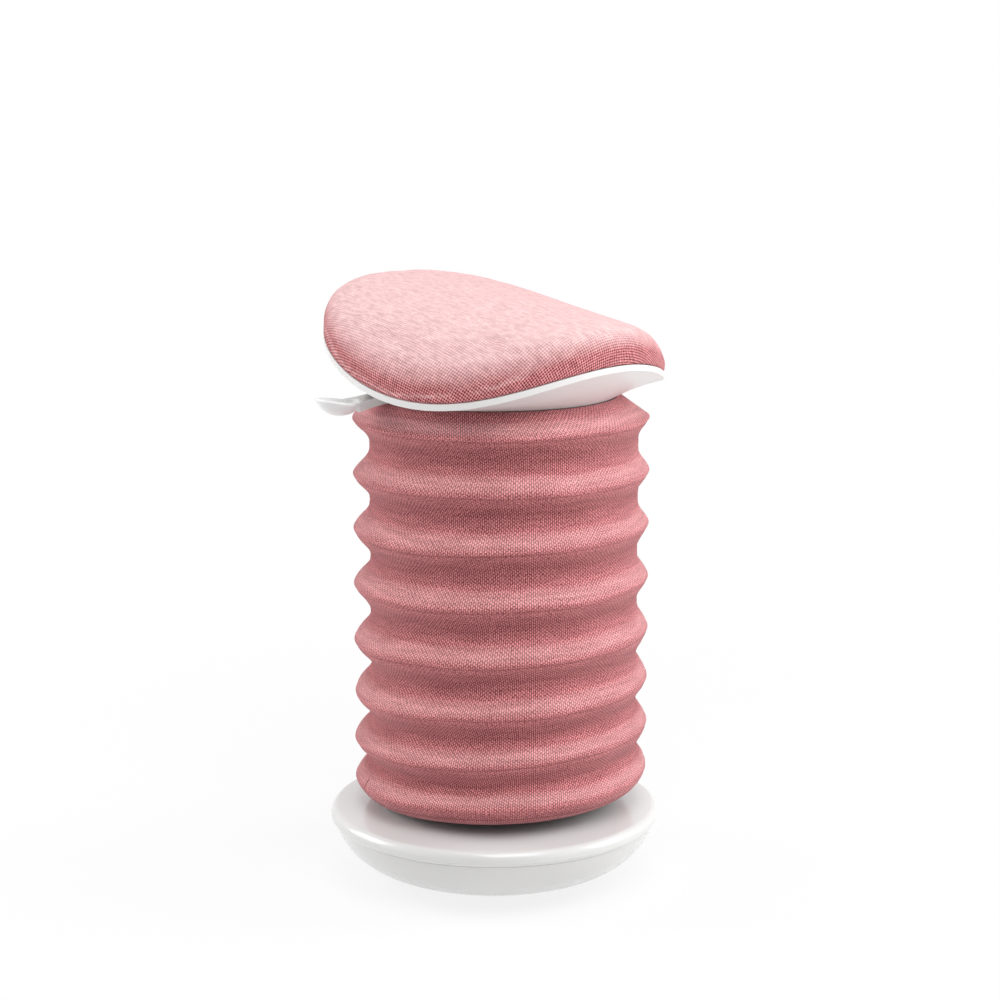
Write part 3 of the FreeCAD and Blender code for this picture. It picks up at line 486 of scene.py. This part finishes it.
def bellows_tree():
    tree, size = new_tree("Bellows cloth", BELLOWS)
    grid = add(tree, "GeometryNodeMeshGrid", None,
               {"Size X": 1.0, "Size Y": 1.0, "Vertices X": CLOTH_STEPS[0],
                "Vertices Y": CLOTH_STEPS[1]})
    x, y = parts_of(add(tree, "GeometryNodeInputPosition"))[:2]
    share_round = x + 0.5
    share_down = 0.5 - y
    stitches = vector(share_round * LOOPS_ROUND, share_down * LOOP_ROWS)
    marked = add(tree, "GeometryNodeStoreNamedAttribute",
                 {"data_type": "FLOAT2", "domain": "CORNER"},
                 {"Geometry": grid, "Name": "UVMap", "Value": stitches})

    angle = share_round * TURN
    place = share_down * LENGTH - NECK
    fold = place.clamped(0.0, LAST)
    neck = (place * (-1.0 / NECK)).clamped()
    hem = ((place - LAST) / HEM).clamped()
    tuck = ((place - LAST - HEM) / TUCK).clamped()

    height, droop = crest_line(size, fold)
    wave = (fold * TURN).math("COSINE") * 0.5 + 0.5
    fullness = FULL_AT_TOP - fold * (FULL_LOST / LAST)
    swing = size["Crest radius"] - size["Valley radius"]
    radius = size["Valley radius"] + swing * wave ** fullness
    ridge = (wave * wave) ** RIDGE_SHARPNESS
    radius = radius + size["Hoop ridge"] * ridge * (1.0 - hem) * (1.0 - neck)
    under_crest, hem_seams = sewn_lines(share_round, share_down)
    radius = radius - size["Stitch depth"] * (under_crest + hem_seams)

    quarter = hem * (math.pi / 2)
    turn_in = 1.0 - quarter.math("COSINE")
    radius = radius - (size["Crest radius"] - size["Hem radius"]) * turn_in ** 0.8
    radius = radius - size["Tuck"] * 0.35 * tuck
    radius = radius - (size["Crest radius"] - size["Top radius"]) * neck
    height = (height + size["Neck drop"] * neck + size["Tuck"] * tuck
              - size["Hem drop"] * quarter.math("SINE"))

    around_x = angle.math("COSINE")
    around_y = angle.math("SINE")
    waist = 1.0 - wave
    long_folds = noise(vector(around_x, around_y, height * 22 + size["Seed"]), 2.2, 2.0)
    short_folds = noise(vector(around_x, around_y, height * 60 - size["Seed"]), 3.4, 2.0)
    loose = 0.35 + fold * 0.11
    crease = (long_folds - 0.5) * 2.0 * loose + (short_folds - 0.5) * 0.8 * (1.0 - ridge)
    free = (1.0 - neck) * (1.0 - hem * 0.7)
    radius = radius + size["Crease depth"] * crease * free

    shift = size["Shift"] * (1.0 - neck) + size["Valley shift"] * waist * (1.0 - neck)
    sag = (noise(vector(around_x, around_y, fold * 1.3 - size["Seed"]), 1.1, 1.0) - 0.5)
    height = height + sag * SAG * free
    spot = bent_point(size, angle, radius, height, droop, shift)
    bent = add(tree, "GeometryNodeSetPosition", None,
               {"Geometry": marked, "Position": spot})
    joined = add(tree, "GeometryNodeMergeByDistance", None,
                 {"Geometry": bent, "Distance": 0.01 * MM})
    close_tree(tree, joined, size["Finish"])
    return tree


# %% [markdown]
# The cloth doesn't look the same all over a fold. Above each crest its colour is painted
# paler, as painted light, just below the crest it is drawn smooth over the hoop's channel,
# and in the valley and on the tucked hem its colour is painted darker, as painted shade.
# The stitching is darker still, and its line under each crest is also painted shadow under
# the hoop's edge. All of it follows from the place down the cloth, counted in folds.

# %% The bellows' finish
# The colour of the stitching and of the painted shadow line under each crest.
STITCH_AND_SHADOW_LINE = (0.16, 0.03, 0.035, 1)
# Multipliers of the knit's colour: painted light above the crest, painted shade in the
# valley and painted shade on the tucked hem. DEEPEST_PAINTED_SHADE is the place past the
# crest, in folds, where the painted shade is deepest.
PAINTED_LIGHT_ABOVE_CREST = (1.14, 1.16, 1.16, 1)
PAINTED_SHADE_IN_VALLEY = (0.74, 0.68, 0.69, 1)
PAINTED_SHADE_IN_HEM = (0.66, 0.60, 0.61, 1)
DEEPEST_PAINTED_SHADE = 0.32


def bellows_knit(place):
    stitches = add(place.tree, "ShaderNodeUVMap", {"uv_map": "UVMap"})
    across, along = parts_of(stitches)[:2]
    flecks = noise(vector(across * 1.7, along * 2.8), 1.0, 2.0)
    yarn = noise(vector(across * 0.10, along * 0.75), 1.0, 4.0, 0.62)
    under_crest, hem_seams = sewn_lines(across / LOOPS_ROUND, along / LOOP_ROWS)
    fold = along * (LENGTH / LOOP_ROWS) - NECK
    past_crest = fold - fold.math("ROUND")
    channel = groove(past_crest, 0.10, 0.13)
    # The band above each crest is painted paler, as painted light.
    wear_and_painted_light = groove(past_crest, -0.17, 0.17)
    loops = (bias_loops(across, along) - 0.5) * (1.0 - channel * 0.5) + 0.5
    made = knitted(loops, flecks, yarn, wear_and_painted_light * 0.22, 0.45)

    # Painted shade, deepest on the lower slope into the valley, and painted light above the
    # crest, then painted shade on the tucked hem.
    valley_shade_share = ((fold - DEEPEST_PAINTED_SHADE) * TURN).math("COSINE") * 0.5 + 0.5
    shade = mix(valley_shade_share, PAINTED_LIGHT_ABOVE_CREST, PAINTED_SHADE_IN_VALLEY)
    shade = mix(fold.step(LAST + 0.02, LAST + 0.4), shade, PAINTED_SHADE_IN_HEM)
    toned = mix(1.0, made["Base Color"], shade, "MULTIPLY")
    # The line under each crest is stitching and painted shadow under the hoop's edge; the
    # hem's lines are its seams.
    lines = under_crest * 0.35 + hem_seams * 0.75
    made["Base Color"] = mix(lines, toned, STITCH_AND_SHADOW_LINE)
    return made


bellows_finish = finish("rose knit of the bellows", bellows_knit)
bellows = grown("bellows_cloth", bellows_tree(), BELLOWS, bellows_finish)
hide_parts("bellows_cover")

# %% [markdown]
# ## Hoops in the folds
#
# Each crest is held out by a flat nylon hoop. Nobody sees them, but on the stool they shrink
# together with the cloth when the seat goes down, so here they are made by the same rule as
# the cloth. A line has one point for each hoop, far apart so that no two mix, and each
# point carries a copy of a flat strip of five rows. The strip's place then says which hoop
# it is, and the rule bends it into a ring, tipped like its fold.

# %% The hoops' tree
HOOP_WIDTH = 4.0 * MM
HOOP_THICKNESS = 2.0 * MM
HOOP_INSET = 5.6 * MM
HOOP_STEPS = 97
SPREAD = 10.0


def hoop_tree():
    tree, size = new_tree("Fold hoops", BELLOWS)
    grid = add(tree, "GeometryNodeMeshGrid", None,
               {"Size X": 1.0, "Size Y": 1.0, "Vertices X": HOOP_STEPS, "Vertices Y": 5})
    x, y = parts_of(add(tree, "GeometryNodeInputPosition"))[:2]
    corner = ((0.5 - y) * 4.0 + 0.5).math("FLOOR")
    outer = (corner - 0.5).math("ABSOLUTE").math("LESS_THAN", 1.0)
    wraps = (corner - 3.5).math("GREATER_THAN", 0.0)
    high = (corner - 1.5).math("ABSOLUTE").math("LESS_THAN", 1.0)
    radius = size["Crest radius"] - HOOP_INSET + (outer + wraps).clamped() * HOOP_THICKNESS
    up = vector(x + 0.5, radius, (high - 0.5) * HOOP_WIDTH)
    section = add(tree, "GeometryNodeSetPosition", None, {"Geometry": grid, "Position": up})

    line = add(tree, "GeometryNodeMeshLine", None,
               {"Count": FOLDS, "Offset": (0.0, 0.0, SPREAD)})
    copies = add(tree, "GeometryNodeInstanceOnPoints", None,
                 {"Points": line, "Instance": section})
    loose = add(tree, "GeometryNodeRealizeInstances", None, {"Geometry": copies})
    share, reach, rise = parts_of(add(tree, "GeometryNodeInputPosition"))
    fold = (rise / SPREAD).math("ROUND")
    height, droop = crest_line(size, fold)
    spot = bent_point(size, share * TURN, reach, height + rise - fold * SPREAD, droop,
                      size["Shift"])
    bent = add(tree, "GeometryNodeSetPosition", None, {"Geometry": loose, "Position": spot})
    joined = add(tree, "GeometryNodeMergeByDistance", None,
                 {"Geometry": bent, "Distance": 0.01 * MM})
    close_tree(tree, joined, size["Finish"])
    return tree


hoops = grown("fold_rings", hoop_tree(), BELLOWS, SLOT_FINISHES["hoop_plastic"])
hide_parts("fold_hoops")

# %% [markdown]
# ## The pad
#
# The pad is foam on a saddle-shaped board: it falls to the sitter's left and right, most
# of all in front of the middle, rises to the back, and its edge rolls over evenly. A
# formula gives that surface, so the pad starts as a square grid laid on a disc, which leaves
# no pole in the middle. It is made a little small and then inflated as cloth, the way foam
# fills its cover. The swelling is capped, so the pad keeps to its shell.

# %% The saddle
SEAT_RADIUS = 176.5 * MM
PAD_RADIUS = SEAT_RADIUS + 1.0 * MM
SEAT_MIDDLE = 575.0 * MM
BACK_RISE = 20.5 * MM
END_RISE = 12.5 * MM
SIDE_FALL = 30.0 * MM
SIDE_TWIST = 27.5 * MM
PAD_EDGE = 32.5 * MM
PAD_CROWN = 15.0 * MM
PAD_ROUND = 19.0 * MM
START_SMALL = 0.7 * MM
FOOT_TUCK = 0.8 * MM
FOOT_GAP = 0.4 * MM


def saddle(x, y):
    """Height of the line on which the pad sits. It takes numbers or wires."""
    x = x * (1 / SEAT_RADIUS)
    y = y * (1 / SEAT_RADIUS)
    ends = y * BACK_RISE + y * y * END_RISE
    return SEAT_MIDDLE + ends - (SIDE_FALL - y * SIDE_TWIST) * x * x


print("the saddle falls", round((SEAT_MIDDLE - saddle(SEAT_RADIUS, 0.0)) / MM, 1),
      "mm to either side")


# %% Rows of the pad, from the middle of its top to the middle of its underside
GRID = 72
EDGE_STEPS = 9
SIDE_STEPS = 6


def on_disc(u, v):
    """A point of the square from -1 to 1, laid on the unit disc."""
    if abs(u) < 1e-9 and abs(v) < 1e-9:
        return 0.0, 0.0
    if abs(u) > abs(v):
        return u * math.cos(math.pi / 4 * v / u), u * math.sin(math.pi / 4 * v / u)
    return v * math.sin(math.pi / 4 * u / v), v * math.cos(math.pi / 4 * u / v)


def pad_point(x, y, reach, share_up):
    """A point of the pad from its place on the unit disc, reach and share of the rise."""
    place = Vector((x * reach, y * reach, 0))
    spread = place.length / PAD_RADIUS
    lift = PAD_EDGE + PAD_CROWN * (1 - spread * spread) - START_SMALL
    base = saddle(place.x, place.y)
    place.z = base + FOOT_GAP + lift * share_up
    return place


def pad_mesh():
    inner = PAD_RADIUS - PAD_ROUND
    points = []
    faces = []
    numbers = {}
    for side, share in (("top", 1.0), ("under", 0.0)):
        for j in range(GRID + 1):
            for i in range(GRID + 1):
                x, y = on_disc(2 * i / GRID - 1, 2 * j / GRID - 1)
                reach = inner if side == "top" else PAD_RADIUS - START_SMALL - FOOT_TUCK
                numbers[side, i, j] = len(points)
                points.append(pad_point(x, y, reach, share))
        for j in range(GRID):
            for i in range(GRID):
                ring = [numbers[side, i, j], numbers[side, i + 1, j],
                        numbers[side, i + 1, j + 1], numbers[side, i, j + 1]]
                faces.append(ring if side == "top" else ring[::-1])
    border = [(k, 0) for k in range(GRID)] + [(GRID, k) for k in range(GRID)]
    border += [(GRID - k, GRID) for k in range(GRID)] + [(0, GRID - k) for k in range(GRID)]
    upper = [numbers["top", i, j] for i, j in border]
    for step in range(1, EDGE_STEPS + SIDE_STEPS + 1):
        row = []
        for i, j in border:
            x, y = on_disc(2 * i / GRID - 1, 2 * j / GRID - 1)
            turn = min(1.0, step / EDGE_STEPS) * math.pi / 2
            reach = inner + (PAD_ROUND - START_SMALL) * math.sin(turn)
            drop = (PAD_ROUND - START_SMALL) * (1 - math.cos(turn))
            below = max(0, step - EDGE_STEPS) / SIDE_STEPS
            reach -= FOOT_TUCK * below**3
            place = pad_point(x, y, reach, 1.0)
            foot = pad_point(x, y, reach, 0.0)
            place.z = (place.z - drop) * (1 - below) + foot.z * below
            if step == EDGE_STEPS + SIDE_STEPS:
                row.append(numbers["under", i, j])
            else:
                row.append(len(points))
                points.append(place)
        faces += [[upper[k], row[k], row[(k + 1) % len(row)], upper[(k + 1) % len(row)]]
                  for k in range(len(row))]
        upper = row
    mesh = bpy.data.meshes.new("seat_cushion")
    mesh.from_pydata(points, [], faces)
    mesh.polygons.foreach_set("use_smooth", [True] * len(mesh.polygons))
    return mesh


# %% Fill the cover
HELD_BELOW = 3.5 * MM
PRESSURE = 4.0
SWELL_FRAMES = 20
SWELL_LIMIT = 2.2 * MM


def hold(piece):
    """Name the points that don't swell: the underside and the foot of the side wall."""
    held = piece.vertex_groups.new(name="held")
    for corner in piece.data.vertices:
        above = corner.co.z - saddle(corner.co.x, corner.co.y)
        if above < HELD_BELOW:
            held.add([corner.index], 1.0, "REPLACE")
    return held


def swell(piece):
    """Inflate the piece as cloth and keep the result, capped, as a plain mesh."""
    start = [corner.co.copy() for corner in piece.data.vertices]
    cloth = piece.modifiers.new("Fill", "CLOTH")
    cloth.settings.vertex_group_mass = hold(piece).name
    cloth.settings.use_pressure = True
    cloth.settings.uniform_pressure_force = PRESSURE
    cloth.settings.effector_weights.gravity = 0.0
    cloth.point_cache.frame_start = 1
    cloth.point_cache.frame_end = SWELL_FRAMES
    scene = bpy.context.scene
    for number in range(1, SWELL_FRAMES + 1):
        scene.frame_set(number)
    view = bpy.context.evaluated_depsgraph_get()
    blown = piece.evaluated_get(view).data
    moves = [after.co - before for after, before in zip(blown.vertices, start)]
    piece.modifiers.remove(cloth)
    capped = 0
    for corner, before, move in zip(piece.data.vertices, start, moves):
        if move.length > SWELL_LIMIT:
            move = move * (SWELL_LIMIT / move.length)
            capped += 1
        corner.co = before + move
    scene.frame_set(1)
    print(piece.name, "points:", len(moves), "held at the cap:", capped)


# %% The pad's finish
LOOP_PITCH = 2.7 * MM


def pad_knit(place):
    """A flat cloth drawn over the pad, whose rows turn down over the edge."""
    x, y, z = parts_of(place)
    reach = (x * x + y * y) ** 0.5
    above = z - saddle(x, y)
    corner = PAD_RADIUS - PAD_ROUND
    wall = PAD_EDGE - PAD_ROUND
    past = (reach - corner).math("MAXIMUM", 0.0)
    high = (above - wall).math("MAXIMUM", 0.0)
    roll = past.math("ARCTAN2", high)
    lower = (wall - above).math("MAXIMUM", 0.0)
    drawn = reach.math("MINIMUM", corner) + roll * PAD_ROUND + lower
    stretch = drawn / reach.math("MAXIMUM", 1 * MM)
    loops = square_loops(x * stretch / LOOP_PITCH, y * stretch / LOOP_PITCH)
    flecks = noise(place, 700.0, 2.0)
    yarn = noise(vector(x * 260, y * 90, z * 90), 1.0, 4.0, 0.62)
    facing = parts_of(add(place.tree, "ShaderNodeNewGeometry").out("Normal"))[2]
    # Faces turned upwards are painted paler, as painted light on the top of the pad.
    return knitted(loops, flecks, yarn, facing.step(0.1, 0.95), 0.25)


# %% Make the pad
cushion = bpy.data.objects.new("seat_cushion", pad_mesh())
bpy.context.collection.objects.link(cushion)
swell(cushion)
cushion.data.materials.append(finish("rose knit of the pad", pad_knit))
smooth = cushion.modifiers.new("Smooth", "SUBSURF")
smooth.levels = 1
smooth.render_levels = 1
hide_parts("seat_foam", "seat_cover")
print("pad faces before the smoothing:", len(cushion.data.polygons))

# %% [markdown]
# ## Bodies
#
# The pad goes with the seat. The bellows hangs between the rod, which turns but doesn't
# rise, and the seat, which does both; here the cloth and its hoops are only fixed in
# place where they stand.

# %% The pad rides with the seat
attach(cushion, "seat")
for soft in (bellows, hoops):
    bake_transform(soft)

# %% [markdown]
# ## Studio
#
# The photograph has a bright even studio in a white room. A soft light in front and above
# makes each fold bright on its upper side and dark below, a weaker one overhead opens the
# shadows, and two at the sides make the edges pale. The floor shows white to the camera and
# keeps a soft shadow near the foot.

# %% Floor and room
def white_to_eye(tree):
    """1 for the rays that see the room directly, in gloss or through glass."""
    path = add(tree, "ShaderNodeLightPath")
    seen = path.out("Is Camera Ray") + path.out("Is Glossy Ray")
    seen = seen + path.out("Is Transmission Ray")
    return seen.clamped()


FLOOR_GREY = (0.86, 0.86, 0.86, 1)
FLOOR_REACH = 30.0
SHADOW_SHARE = 0.14
ROOM_LIGHT = 0.26


def floor_finish():
    """Pale and dull to light, and mostly white to the eye, wholly so away from the foot."""
    made = bpy.data.materials.new("white floor")
    made.use_nodes = True
    tree = made.node_tree
    shader = tree.nodes["Principled BSDF"]
    shader.inputs["Base Color"].default_value = FLOOR_GREY
    shader.inputs["Roughness"].default_value = 0.9
    glow = add(tree, "ShaderNodeEmission", None, {"Color": (1, 1, 1, 1), "Strength": 1.0})
    x, y = parts_of(add(tree, "ShaderNodeTexCoord").out("Object"))[:2]
    away = (x * x + y * y) ** 0.5
    part = away.step(0.25, 1.2) * SHADOW_SHARE + (1.0 - SHADOW_SHARE)
    both = add(tree, "ShaderNodeMixShader", None,
               {0: white_to_eye(tree) * part, 1: Wire(tree, shader.outputs[0]), 2: glow})
    tree.links.new(both.socket, tree.nodes["Material Output"].inputs["Surface"])
    return made


floor_mesh = bpy.data.meshes.new("floor")
floor_corners = [(x * FLOOR_REACH, y * FLOOR_REACH, 0)
                 for x, y in ((-1, -1), (1, -1), (1, 1), (-1, 1))]
floor_mesh.from_pydata(floor_corners, [], [(0, 1, 2, 3)])
floor_mesh.materials.append(floor_finish())
floor = bpy.data.objects.new("floor", floor_mesh)
bpy.context.collection.objects.link(floor)

scene = bpy.context.scene
scene.view_settings.view_transform = "Standard"
world = bpy.data.worlds.new("white room")
world.use_nodes = True
scene.world = world
backdrop = world.node_tree.nodes["Background"]
backdrop.inputs["Color"].default_value = (1, 1, 1, 1)
seen = white_to_eye(world.node_tree)
feed(world.node_tree, backdrop.inputs["Strength"],
     seen * (1.0 - ROOM_LIGHT) + ROOM_LIGHT)
print("room light:", ROOM_LIGHT)

# %% Camera, fitted to the photograph
CAMERA_AZIMUTH = math.radians(-45.0)
CAMERA_ELEVATION = math.radians(10.925)
CAMERA_ASIDE = 6.03 * MM
CAMERA_BACK = 2475.94 * MM
CAMERA_HEIGHT = 886.16 * MM
CAMERA_LENS = 86.42
SENSOR = 36.0


def from_view(right, away, height):
    """A place given as seen from the camera, turned into the row frame."""
    c = math.cos(CAMERA_AZIMUTH)
    s = math.sin(CAMERA_AZIMUTH)
    return Vector((right * c - away * s, right * s + away * c, height))


def aimed(thing, place, target):
    """Put a lamp or camera in its place, facing the target."""
    thing.location = place
    thing.rotation_mode = "QUATERNION"
    thing.rotation_quaternion = (target - place).to_track_quat("-Z", "Y")
    bpy.context.collection.objects.link(thing)


lens = bpy.data.cameras.new("camera")
lens.lens = CAMERA_LENS
lens.sensor_width = SENSOR
camera = bpy.data.objects.new("camera", lens)
stand = from_view(CAMERA_ASIDE, -CAMERA_BACK, CAMERA_HEIGHT)
ahead = from_view(0, math.cos(CAMERA_ELEVATION), -math.sin(CAMERA_ELEVATION))
aimed(camera, stand, stand + ahead)
scene.camera = camera
print("the camera stands at", [round(part, 2) for part in stand])

# %% Lights
LIT_POINT = Vector((0, 0, 0.35))
LIGHTS = (
    ("front and above", (0.35, -1.25, 2.0), 1.3, 24.0),
    ("overhead", (0.0, 0.1, 2.3), 1.5, 10.0),
    ("right", (2.0, 0.0, 1.1), 1.2, 30.0),
    ("left and behind", (-2.0, 0.3, 1.0), 1.2, 24.0),
)
for name, (right, away, height), width, power in LIGHTS:
    panel = bpy.data.lights.new(name, "AREA")
    panel.size = width
    panel.energy = power
    aimed(bpy.data.objects.new(name, panel), from_view(right, away, height), LIT_POINT)
print("lights:", len(LIGHTS), "with", sum(light[3] for light in LIGHTS), "W")
